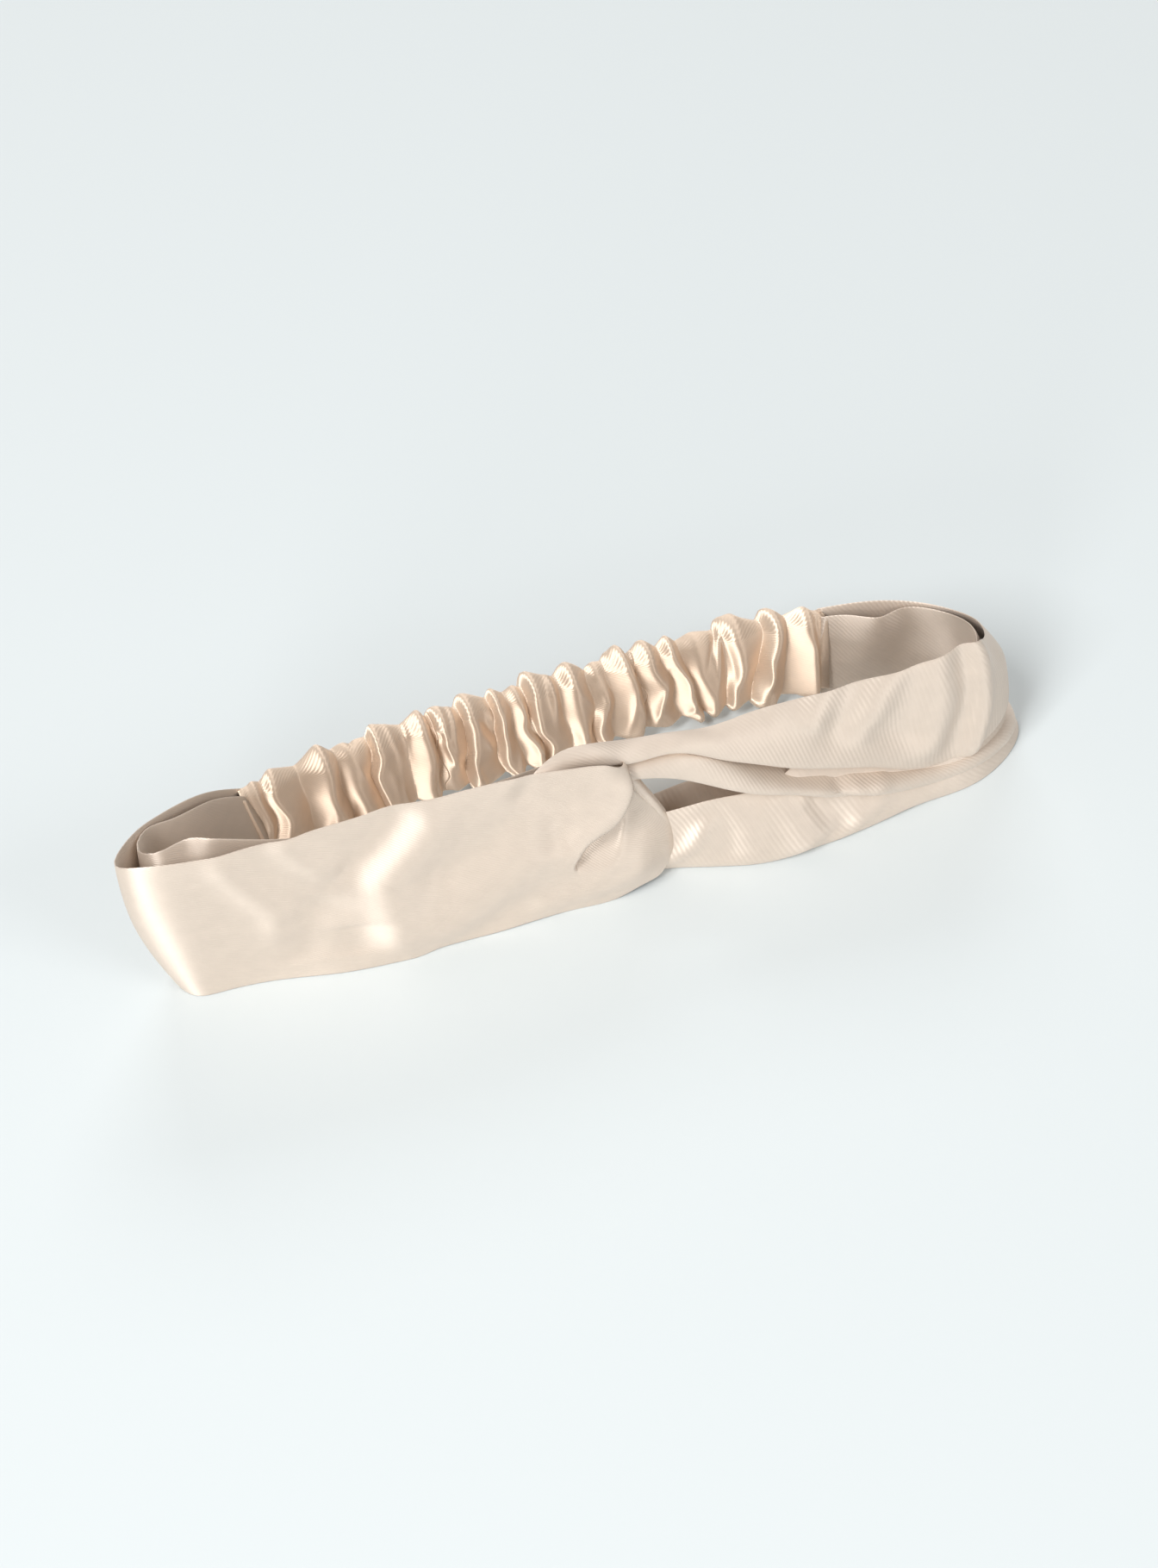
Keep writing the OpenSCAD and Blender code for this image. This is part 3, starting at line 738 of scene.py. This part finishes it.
def build_elastic():
    """A flat braided band through the casing, in three pieces like it."""
    turn = np.linspace(0, 2 * math.pi, ELASTIC_AROUND, endpoint=False)
    across = -ELASTIC_HALF * rounded(np.cos(turn), 0.6)
    half_width = (ELASTIC_HIGH - ELASTIC_LOW) / 2
    up = (ELASTIC_LOW + ELASTIC_HIGH) / 2 + half_width * rounded(np.sin(turn), 0.35)
    around = np.linspace(0, ELASTIC_UV_WIDTH, ELASTIC_AROUND + 1)
    cuts = (ELASTIC_ENDS[0], *CASING_CUTS, ELASTIC_ENDS[1])
    pieces = []
    for name, start, end in zip(SPANS, cuts, cuts[1:]):
        x = np.linspace(start, end, round((end - start) / ELASTIC_STEP) + 1)[:, None] + 0 * across
        y = casing_middle(x, np.broadcast_to(up / CASING_W, x.shape)) + across
        rings = np.stack([x, y, np.broadcast_to(up, x.shape)], axis=2) * MM
        band = tube_object("elastic_" + name, rings, rings[:, 0, 0], around)
        pieces.append(cloth_wall(band, ELASTIC_WALL))
    return pieces


# ---------------------------------------------------------------- stitches


STITCH_SIDES = 6
# Rings of a stitch: place along it in lengths, girth and height of its middle in radii.
STITCH_PROFILE = (
    (-0.5, 0.35, -0.7),
    (-0.35, 0.85, -0.1),
    (0, 1, 0.15),
    (0.35, 0.85, -0.1),
    (0.5, 0.35, -0.7),
)
# Height of a stitch's line over the points that it follows.
STITCH_LIFT = 0.05 * MM
# Distance from a strip's mid-surface out to the line of its thread.
SEAM_RISE = 0.4 * MM
JOIN_RISE = 0.42 * MM


def stitch_row(name, points, outward, length=1.5 * MM, radius=0.14 * MM):
    """Small round stitches along a row of points, each lying on the cloth along the row."""
    vertices, faces = [], []
    ring = STITCH_SIDES
    for i in range(1, len(points) - 1):
        along = points[i + 1] - points[i - 1]
        along = along / np.linalg.norm(along)
        up = outward[i] - along * outward[i].dot(along)
        up = up / np.linalg.norm(up)
        side = np.cross(along, up)
        first = len(vertices)
        for share, girth, rise in STITCH_PROFILE:
            middle = points[i] + along * share * length + up * (STITCH_LIFT + rise * radius)
            for k in range(ring):
                angle = 2 * math.pi * k / ring
                vertices.append(middle + (side * math.cos(angle) + up * math.sin(angle)) * radius * girth)
        for j in range(len(STITCH_PROFILE) - 1):
            for k in range(ring):
                a, b = first + j * ring + k, first + j * ring + (k + 1) % ring
                faces.append((a, b, b + ring, a + ring))
        last = first + (len(STITCH_PROFILE) - 1) * ring
        faces.append(tuple(first + k for k in reversed(range(ring))))
        faces.append(tuple(last + k for k in range(ring)))
    return mesh_object(name, vertices, faces)


def spaced(line, outward, pitch):
    """A row of points and directions, moved to an even pitch."""
    lengths = lengths_along(line)
    at = np.arange(pitch / 2, lengths[-1], pitch)
    points = np.stack([np.interp(at, lengths, line[:, k]) for k in range(3)], axis=1)
    turned = np.stack([np.interp(at, lengths, outward[:, k]) for k in range(3)], axis=1)
    return points, turned


def strip_stitches(name, points, places, first, last):
    """The closing seam of a strip's tube, along the middle of one ply, from station first to last."""
    column = points.shape[1] // 2
    rows = (places >= first) & (places <= last)
    outward = -sheet_normals(points)[rows, column]
    line, outward = spaced(points[rows, column] + outward * SEAM_RISE, outward, 2.6 * MM)
    return stitch_row(name, line, outward, length=1.7 * MM, radius=0.1 * MM)


def casing_stitches(rings):
    """The casing's lengthwise seam, low on the face towards +Y, in three pieces like the casing."""
    seam_share = 0.86
    column = round(seam_share * CASING_AROUND)
    outward = -sheet_normals(rings)[:, column]
    pieces = []
    for name, start, end in casing_spans(rings):
        line, turned = spaced(rings[start : end + 1, column], outward[start : end + 1], 2.4 * MM)
        pieces.append(stitch_row("casing_thread_" + name, line, turned, length=1.6 * MM, radius=0.1 * MM))
    return pieces


def tack_stitches(name, x):
    """Bar tack: stitches up both faces of the elastic, clear of its two edges."""
    z = np.arange(ELASTIC_LOW + 1.5, ELASTIC_HIGH - 1, 1.6)
    middle = casing_middle(x + 0 * z, z / CASING_W)
    vertices, faces = [], []
    for side in (-1, 1):
        line = np.stack([x + 0 * z, middle + side * ELASTIC_HALF, z], axis=1) * MM
        row = stitch_row(name, line, np.tile([0.0, side, 0.0], (len(z), 1)), length=1.3 * MM)
        faces += [tuple(len(vertices) + k for k in face.vertices) for face in row.data.polygons]
        vertices += [tuple(v.co) for v in row.data.vertices]
        bpy.data.objects.remove(row)
    return mesh_object(name, vertices, faces)


def join_stitches(name, points):
    """Stitches across a strip's sewn end, on the side that its normals point to."""
    row = 1
    outward = sheet_normals(points)[row]
    line, turned = spaced(points[row] + outward * JOIN_RISE, outward, 2.2 * MM)
    return stitch_row(name, line, turned, length=1.5 * MM)


# ---------------------------------------------------------------- satin


def new_material(name, colour, roughness):
    """A material with its node tree and its shader."""
    material = bpy.data.materials.new(name)
    material.use_nodes = True
    shader = material.node_tree.nodes["Principled BSDF"]
    shader.inputs["Base Color"].default_value = (*colour, 1)
    shader.inputs["Roughness"].default_value = roughness
    return material, material.node_tree, shader


def mottled(tree, shader, colour, scale, amount):
    """Lets the colour wander a little around its middle."""
    noise = tree.nodes.new("ShaderNodeTexNoise")
    noise.inputs["Scale"].default_value = scale
    noise.inputs["Detail"].default_value = 3
    ramp = tree.nodes.new("ShaderNodeValToRGB")
    ramp.color_ramp.elements[0].position = 0.3
    ramp.color_ramp.elements[1].position = 0.7
    ramp.color_ramp.elements[0].color = (*(c * (1 - amount) for c in colour), 1)
    ramp.color_ramp.elements[1].color = (*(min(1, c * (1 + amount)) for c in colour), 1)
    place = tree.nodes.new("ShaderNodeTexCoord")
    tree.links.new(place.outputs["Object"], noise.inputs["Vector"])
    tree.links.new(noise.outputs["Fac"], ramp.inputs["Fac"])
    tree.links.new(ramp.outputs["Color"], shader.inputs["Base Color"])


def woven(tree, shader, pitch, angle, strength, depth):
    """Fine ribs across the cloth's UV map, a pitch apart in metres."""
    # At a scale of 1, the wave texture's bands repeat after this length.
    band_length = math.pi / 10
    place = tree.nodes.new("ShaderNodeUVMap")
    place.uv_map = "cloth"
    turn = tree.nodes.new("ShaderNodeMapping")
    turn.inputs["Rotation"].default_value[2] = angle
    ribs = tree.nodes.new("ShaderNodeTexWave")
    ribs.inputs["Scale"].default_value = band_length / pitch
    ribs.inputs["Distortion"].default_value = 0.6
    ribs.inputs["Detail"].default_value = 1
    bump = tree.nodes.new("ShaderNodeBump")
    bump.inputs["Strength"].default_value = strength
    bump.inputs["Distance"].default_value = depth
    tree.links.new(place.outputs["UV"], turn.inputs["Vector"])
    tree.links.new(turn.outputs["Vector"], ribs.inputs["Vector"])
    tree.links.new(ribs.outputs["Fac"], bump.inputs["Height"])
    tree.links.new(bump.outputs["Normal"], shader.inputs["Normal"])


def satin_material(name, colour, roughness, metallic, anisotropy, gloss):
    """Champagne satin, with a shine that is stretched one way across the cloth and fine slanting ribs."""
    material, tree, shader = new_material(name, colour, roughness)
    shader.inputs["Coat Weight"].default_value = gloss
    shader.inputs["Coat Roughness"].default_value = 0.5
    shader.inputs["Metallic"].default_value = metallic
    shader.inputs["IOR"].default_value = 1.9
    shader.inputs["Anisotropic"].default_value = anisotropy
    shader.inputs["Anisotropic Rotation"].default_value = 0.25
    shader.inputs["Sheen Weight"].default_value = 0.1
    shader.inputs["Specular IOR Level"].default_value = 0.95
    tangent = tree.nodes.new("ShaderNodeTangent")
    tangent.direction_type = "UV_MAP"
    tangent.uv_map = "cloth"
    tree.links.new(tangent.outputs["Tangent"], shader.inputs["Tangent"])
    mottled(tree, shader, colour, 260, 0.025)
    woven(tree, shader, 0.62832 * MM, math.radians(62), 0.8, 0.04 * MM)
    return material


def thread_material(name, colour):
    """Sewing thread, a little mottled."""
    material, tree, shader = new_material(name, colour, 0.5)
    shader.inputs["Sheen Weight"].default_value = 0.3
    mottled(tree, shader, colour, 3000, 0.12)
    return material


def elastic_material(name, colour):
    """Matt braid with ribs 1.5 mm apart."""
    material, tree, shader = new_material(name, colour, 0.85)
    shader.inputs["Sheen Weight"].default_value = 0.4
    mottled(tree, shader, colour, 1200, 0.06)
    woven(tree, shader, 1.50796 * MM, math.radians(90), 0.8, 0.3 * MM)
    return material


# ---------------------------------------------------------------- camera, floor and lights


def make_camera():
    """The camera, in front of the band, to its left and above it."""
    azimuth, elevation = math.radians(-24), math.radians(46)
    back = np.array([
        math.sin(azimuth) * math.cos(elevation),
        -math.cos(azimuth) * math.cos(elevation),
        math.sin(elevation),
    ])
    data = bpy.data.cameras.new("camera")
    data.lens = 70
    data.sensor_width = 36
    camera = bpy.data.objects.new("camera", data)
    camera.location = (-0.2125, -0.4795, 0.5614)
    camera.rotation_mode = "QUATERNION"
    camera.rotation_quaternion = Vector(-back).to_track_quat("-Z", "Y")
    data.clip_start = 0.01
    data.clip_end = 20
    bpy.context.scene.collection.objects.link(camera)
    bpy.context.scene.camera = camera


def make_floor():
    """A plain pale floor."""
    reach = 3
    corners = [(-reach, -reach, 0), (reach, -reach, 0), (reach, reach, 0), (-reach, reach, 0)]
    floor = mesh_object("floor", corners, [(0, 1, 2, 3)])
    material = bpy.data.materials.new("floor")
    material.use_nodes = True
    shader = material.node_tree.nodes["Principled BSDF"]
    shader.inputs["Base Color"].default_value = (0.655, 0.705, 0.72, 1)
    shader.inputs["Roughness"].default_value = 0.9
    floor.data.materials.append(material)


LIGHT_TARGET = Vector((0, 0, 0.02))


def area_light(name, width, height, power, position):
    """A white soft light that faces the band; sizes in metres and power in watts."""
    data = bpy.data.lights.new(name, "AREA")
    data.shape = "RECTANGLE"
    data.size = width
    data.size_y = height
    data.energy = power
    light = bpy.data.objects.new(name, data)
    light.location = position
    light.rotation_mode = "QUATERNION"
    light.rotation_quaternion = (LIGHT_TARGET - Vector(position)).to_track_quat("-Z", "Y")
    bpy.context.scene.collection.objects.link(light)


def make_lights():
    """Soft studio light, brightest from the left, with a warm surrounding."""
    world = bpy.data.worlds.new("studio")
    world.use_nodes = True
    background = world.node_tree.nodes["Background"]
    background.inputs["Color"].default_value = (1, 0.965, 0.93, 1)
    background.inputs["Strength"].default_value = 0.46
    bpy.context.scene.world = world
    area_light("window", 0.6, 1.4, 68, (-1.8, -1.2, 2.15))
    area_light("low window", 0.5, 0.8, 15, (-1.35, -1.5, 0.45))
    area_light("fill", 1.2, 1.2, 15, (1.2, -2.0, 1.5))
    area_light("back fill", 1.6, 1.2, 20, (0.7, 2.1, 1.9))


make_camera()
make_floor()
make_lights()

left_strip, left_points, left_places = build_left_strip()
right_strip, right_points, right_places = build_right_strip()
rings = casing_rings()
satin = satin_material(
    "satin", (0.70, 0.59, 0.49), roughness=0.55, metallic=0.36, anisotropy=0.87, gloss=0.12
)
# Painted light: the casing is the same satin as the strips, but its colour is painted lighter and warmer
# than theirs, so the whole casing looks more brightly lit.
casing_satin_painted_lighter = satin_material(
    "casing_satin_painted_lighter", (0.97, 0.78, 0.61), roughness=0.6, metallic=0.62, anisotropy=0.98, gloss=0.25
)
thread = thread_material("thread", (0.74, 0.61, 0.48))
elastic = elastic_material("elastic", (0.86, 0.84, 0.80))


def placed(piece, span, material, node):
    """Gives a piece its material, hides the CAD node that it stands for, and sets how it moves.

    The spans "front" and "middle" each ride on a body; "left" and "right" ride on none, their place only
    baked into their mesh."""
    piece.data.materials.append(material)
    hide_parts(node)
    if span == "left":
        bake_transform(piece)
    elif span == "right":
        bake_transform(piece)
    else:
        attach(piece, "back" if span == "middle" else "front")


placed(left_strip, "front", satin, "left_strip")
placed(right_strip, "front", satin, "right_strip")
left_seam = strip_stitches("left_strip_stitches", left_points, left_places, 17.5, 22.5)
right_seam = strip_stitches("right_strip_stitches", right_points, right_places, 22.5, 29)
placed(left_seam, "front", thread, "left_strip_seam")
placed(right_seam, "front", thread, "right_strip_seam")
left_join = join_stitches("left_join_thread", left_points)
right_join = join_stitches("right_join_thread", right_points)
placed(left_join, "front", thread, "left_join_stitches")
placed(right_join, "front", thread, "right_join_stitches")
placed(tack_stitches("left_tack_thread", -71.5), "left", thread, "left_elastic_tack")
placed(tack_stitches("right_tack_thread", 73), "right", thread, "right_elastic_tack")
for piece, span in zip(build_elastic(), SPANS):
    placed(piece, span, elastic, "elastic_band")
for piece, (span, start, end) in zip(build_casing(rings), casing_spans(rings)):
    placed(piece, span, casing_satin_painted_lighter, "back_casing")
for piece, span in zip(casing_stitches(rings), SPANS):
    placed(piece, span, thread, "casing_seam")

bpy.context.scene.view_settings.view_transform = "Standard"
